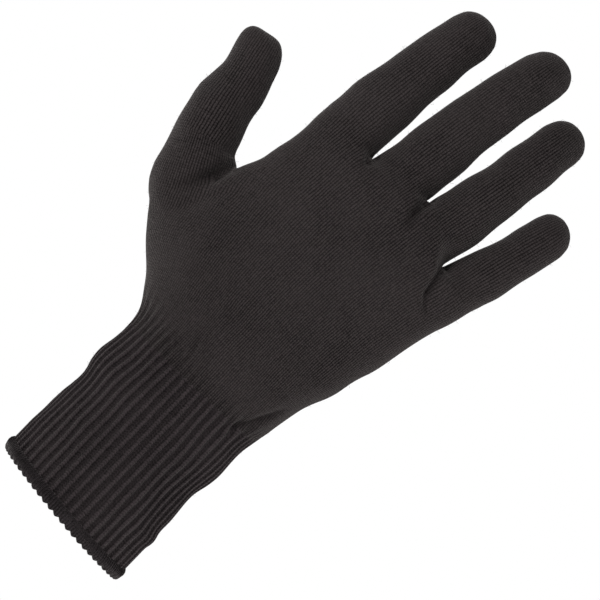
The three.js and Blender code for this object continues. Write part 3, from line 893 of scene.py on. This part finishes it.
def stitch_growth():
    """Wraps one thread round the edge at each stitch of the overlock."""
    growth = Growth("Overlock stitches", {
        "Stitches": STITCHES, "Half Width": (WELT_OUT + WELT_IN) / 2,
        "Half Height": STITCH_HEIGHT / 2, "Thread": STITCH_THREAD, "Lean": STITCH_LEAN,
    })
    line = growth.node(
        "GeometryNodeMeshToCurve", None, {"Mesh": growth.entry.outputs["Geometry"]},
    )
    even = growth.node(
        "GeometryNodeResampleCurve", None,
        {"Curve": line.outputs["Curve"], "Count": growth.size("Stitches")},
    )
    tangent = growth.node("GeometryNodeInputTangent")
    heading = growth.node(
        "FunctionNodeAlignRotationToVector", {"axis": "X", "pivot_axis": "Z"},
        {"Vector": tangent.outputs["Tangent"]},
    )
    taller, wider = STITCH_SLACK
    stretched = growth.node("GeometryNodeTransform", None, {
        "Geometry": growth.circle(STITCH_CORNERS, 1.0),
        "Scale": growth.vector(
            X=growth.size("Half Height") * taller, Y=growth.size("Half Width") * wider, Z=1.0,
        ),
    })
    turned = growth.node("GeometryNodeTransform", None, {
        "Geometry": stretched.outputs["Geometry"],
        "Rotation": growth.vector(Y=math.pi / 2, Z=growth.size("Lean")),
    })
    placed = growth.node("GeometryNodeInstanceOnPoints", None, {
        "Points": even.outputs["Curve"],
        "Instance": growth.thread(turned.outputs["Geometry"], THREAD_SIDES, False),
        "Rotation": heading.outputs["Rotation"],
    })
    return growth.close(placed.outputs["Instances"])


def fibre_growth():
    """Scatters short bent fibres that stand out of the yarn."""
    growth = Growth("Loose fibres", {
        "Fibres": FIBRES_A_SQUARE_METRE, "Fibre Length": FIBRE_LENGTH, "Thread": FIBRE_THREAD,
        "Seed": FIBRE_SEED,
    })
    scattered = growth.node("GeometryNodeDistributePointsOnFaces", None, {
        "Mesh": growth.entry.outputs["Geometry"], "Density": growth.size("Fibres"),
        "Seed": growth.size("Seed"),
    })
    tall = growth.size("Fibre Length")
    line = growth.node("GeometryNodeCurveQuadraticBezier", None, {
        "Resolution": FIBRE_STEPS, "Start": growth.vector(Z=-FIBRE_ROOT),
        "Middle": growth.vector(Z=tall * FIBRE_BEND),
        "End": growth.vector(X=tall * FIBRE_BEND, Z=tall * FIBRE_RISE),
    })
    shortest, longest = FIBRE_SCALE
    chance = growth.node("FunctionNodeRandomValue", {"data_type": "FLOAT"}, {
        2: shortest, 3: longest, "Seed": growth.size("Seed"),
    })
    furthest = (FIBRE_SWING, FIBRE_SWING, math.pi)
    swing = growth.node("FunctionNodeRandomValue", {"data_type": "FLOAT_VECTOR"}, {
        0: tuple(-angle for angle in furthest), 1: furthest, "Seed": growth.size("Seed") + 1,
    })
    placed = growth.node("GeometryNodeInstanceOnPoints", None, {
        "Points": scattered.outputs["Points"],
        "Instance": growth.thread(line.outputs["Curve"], FIBRE_SIDES, True),
        "Rotation": scattered.outputs["Rotation"], "Scale": chance.outputs[1],
    })
    swung = growth.node("GeometryNodeRotateInstances", None, {
        "Instances": placed.outputs["Instances"], "Rotation": swing.outputs[0],
    })
    return growth.close(swung.outputs["Instances"])


def thicken(name, mesh):
    """A closed wall under the piece's outer face."""
    wall = with_modifier(mesh, name, "SOLIDIFY", thickness=WALL, offset=-1, use_rim=True)
    wall.shade_smooth()
    wall.set_sharp_from_angle(angle=RIM_ANGLE)
    return new_object(name, wall)


def make_digit(name):
    mesh = shells[name]
    mesh.materials.append(plain)
    return thicken(name + "_knit", mesh)


def make_palm():
    """The hand, with the ends of the cuff's ribs on its lowest part."""
    mesh = shells["palm"]
    points = read(mesh.vertices, "co", 3)
    turn = np.arctan2(points[:, 0] - CUFF_MIDDLE.x, -points[:, 1]) % (2 * math.pi)
    shares = np.linspace(0, 1, len(rib_turns) + 1)
    share = np.interp(turn, np.append(rib_turns, 2 * math.pi), shares)
    rib_marks(mesh, points, share)
    return thicken("palm_knit", ribs.grow("palm", mesh, plain))


def make_cuff():
    """The ribbed cuff: a smooth tube on which the ribs are raised."""
    rows = []
    for share in np.linspace(0, 1, CUFF_ROWS):
        level = CUFF_START + (CUFF_HIGH.z - CUFF_START) * share
        ring = cuff_ring(min(max(level, SKIN_LOW), CUFF_HIGH.z - HAIR), rib_turns)
        ring[:, 2] = level - (1 - share) * ring[:, 0] * math.tan(HEM_SLANT)
        rows.append(ring)
    rows = np.array(rows)
    mesh = grid_mesh("rib_cuff", rows, False)
    count = len(rib_turns)
    points = rows.reshape(-1, 3)
    rib_marks(mesh, points, np.tile(np.arange(count) / count, CUFF_ROWS))
    mark_folds(mesh, points)
    grid_uv(mesh, count, COLUMNS_A_RIB / RIB_STEPS, rows[:, 0, 2] / COURSE, shift=0.5)
    return thicken("rib_cuff_knit", ribs.grow("rib_cuff", mesh, ribbed))


def welt_ring(count):
    """The line that the edge follows, and the way out of it."""
    ring = cuff_ring(SKIN_LOW, even_turns(SKIN_LOW, count))
    outwards = ring - np.array(CUFF_MIDDLE)
    outwards[:, 2] = 0
    return ring, unit(outwards)


def make_welt():
    """The overlocked edge: a soft roll round the cuff's end, scalloped by its stitches."""
    count = SCALLOPS * SCALLOP_STEPS
    ring, outwards = welt_ring(count)
    point = np.abs(np.arange(count) / SCALLOP_STEPS % 1 - 0.5) * 2
    rows = []
    for around in np.arange(WELT_STEPS)[::-1] / WELT_STEPS * 2 * math.pi:
        outer = 0.5 - 0.5 * math.cos(around)
        up = 0.5 - 0.5 * math.sin(around)
        row = ring + outwards * (WELT_OUT * outer - WELT_IN * (1 - outer))
        row[:, 2] = WELT_LOW + WELT_HEIGHT * up - row[:, 0] * math.tan(HEM_SLANT)
        row[:, 2] += SCALLOP_DEPTH * point**SCALLOP_POWER * (1 - up) ** 2
        rows.append(row)
    mesh = grid_mesh("cuff_welt_knit", np.array(rows), True)
    heights = np.arange(WELT_STEPS) / WELT_STEPS * WELT_ROWS
    grid_uv(mesh, count, STITCHES_A_SCALLOP / SCALLOP_STEPS, heights)
    write_number(mesh, "painted_crease_shade", np.zeros(len(mesh.vertices)))
    mesh.materials.append(edged)
    mesh.shade_smooth()
    return new_object("cuff_welt_knit", mesh)


def make_stitches():
    """The threads of the overlock, one loop after another round the edge."""
    ring, outwards = welt_ring(STITCHES * 2)
    line = ring + outwards * (WELT_OUT - WELT_IN) / 2
    line[:, 2] = WELT_LOW + WELT_HEIGHT - STITCH_HEIGHT / 2 - line[:, 0] * math.tan(HEM_SLANT)
    count = len(line)
    mesh = bpy.data.meshes.new("overlock_line")
    mesh.from_pydata(line.tolist(), [(k, (k + 1) % count) for k in range(count)], [])
    grown = stitch_growth().grow("overlock_stitches", mesh, threads)
    grown.shade_smooth()
    return new_object("overlock_stitches", grown)


def make_fibres():
    """Fibres over everything above the cuff's lowest part, the plug in the cuff included."""
    bearing = read(cut.polygons, "center", 3)[:, 2] > SKIN_LOW
    shell = part_of(cut, bearing, True, "outside")
    return new_object("loose_fibres", fibre_growth().grow("loose_fibres", shell, fibres))


skin, rims = closed_form()
soften(skin)
deepen_slots(skin)
crumple(skin)
axes = {name: digit_axis(name) for name in DIGITS}
WEB_HEIGHT = rims["middle_finger"][0].z
smooth_skin = bmesh.new()
smooth_skin.from_mesh(skin)
skin_tree = BVHTree.FromBMesh(smooth_skin)
smooth_skin.free()
cut = cut_seams(with_modifier(skin, "Fewer", "DECIMATE", ratio=KEPT_FACES))
homes = face_homes(cut)
lay_knit(cut, homes)
mark_folds(cut, read(cut.vertices, "co", 3))
shells = {name: part_of(cut, homes, home, name) for home, name in enumerate(("palm",) + DIGITS)}
rib_turns = even_turns(CUFF_HIGH.z - TURNS_BELOW, RIB_STEPS * RIBS)

plain = knit_finish(
    "plain_knit_finish", dark=DARK_YARN_AND_FURROW_SHADE, light=(0.041, 0.0345, 0.0345),
    depth=0.3 * MM, rungs=0.48, fullness=1.15,
)
ribbed = knit_finish(
    "rib_knit_finish", dark=DARK_YARN_AND_FURROW_SHADE, light=(0.040, 0.0325, 0.0342),
    depth=0.3 * MM, rungs=0.6, fullness=0.5,
)
edged = knit_finish(
    "overlocked_edge_finish", dark=DARK_YARN_AND_FURROW_SHADE, light=(0.028, 0.0235, 0.025),
    depth=0.26 * MM, rungs=0.4, fullness=1.0,
)
threads = yarn_finish(
    "overlock_thread_finish", dark=(0.004, 0.0035, 0.0035), light=(0.026, 0.022, 0.023), sheen=0.1,
)
fibres = yarn_finish(
    "loose_fibre_finish", dark=(0.02, 0.018, 0.018), light=(0.075, 0.066, 0.066), sheen=0.0,
)
ribs = rib_growth()

pieces = [(name, "plain_knit", make_digit(name)) for name in DIGITS]
pieces.append(("palm", "plain_knit", make_palm()))
pieces.append(("rib_cuff", "rib_knit", make_cuff()))
pieces.append(("cuff_welt", "overlocked_edge", make_welt()))
pieces.append((None, "overlocked_edge", make_stitches()))
pieces.append((None, "plain_knit", make_fibres()))

for name, slot, piece in pieces:
    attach(piece, "root")
    if name:
        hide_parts(name)


def set_camera():
    """The photo's view: straight at the back of the hand, with the fingers to the upper right."""
    camera = bpy.data.objects.new("camera", bpy.data.cameras.new("camera"))
    bpy.context.scene.collection.objects.link(camera)
    camera.data.lens = CAMERA_LENS
    camera.data.sensor_width = CAMERA_SENSOR
    camera.data.clip_start, camera.data.clip_end = CAMERA_CLIP
    level = Matrix.Rotation(math.radians(90), 4, "X")
    roll = Matrix.Rotation(CAMERA_ROLL, 4, "Z")
    camera.matrix_world = Matrix.Translation(CAMERA_PLACE) @ level @ roll
    bpy.context.scene.camera = camera


def add_light(name, place, aim, power, size):
    light = bpy.data.lights.new(name, "AREA")
    light.energy = power
    light.size = size
    lamp = bpy.data.objects.new(name, light)
    bpy.context.scene.collection.objects.link(lamp)
    lamp.location = place
    lamp.rotation_euler = (aim - place).to_track_quat("-Z", "Y").to_euler()


def set_studio():
    """White surroundings, soft lamps and a pale floor well below the object."""
    world = bpy.data.worlds.new("studio")
    world.use_nodes = True
    room = Nodes(world.node_tree)
    seen = room.node("ShaderNodeLightPath").outputs["Is Camera Ray"]
    surroundings = world.node_tree.nodes["Background"]
    surroundings.inputs["Color"].default_value = (1, 1, 1, 1)
    # The backdrop looks white but lights the object less than that
    strength = Value(room, seen) * (1 - ROOM_LIGHT) + ROOM_LIGHT
    room.feed(surroundings.inputs["Strength"], strength)
    bpy.context.scene.world = world
    bpy.context.scene.view_settings.view_transform = "Standard"
    middle = (PALM_LOW + PALM_HIGH) / 2
    for name, (place, power, size) in LAMPS.items():
        add_light(name, middle + Vector(place), middle, power, size)
    floor_work = bmesh.new()
    bmesh.ops.create_circle(floor_work, cap_ends=True, segments=FLOOR_SIDES, radius=FLOOR_RADIUS)
    floor_mesh = bpy.data.meshes.new("floor")
    floor_work.to_mesh(floor_mesh)
    floor_work.free()
    floor = new_object("floor", floor_mesh)
    floor.location = (0, 0, FLOOR_HEIGHT)
    paint = Paint("floor_finish")
    paint.shader.inputs["Base Color"].default_value = FLOOR_GREY
    paint.shader.inputs["Roughness"].default_value = FLOOR_ROUGH
    floor.data.materials.append(paint.material)


set_camera()
set_studio()
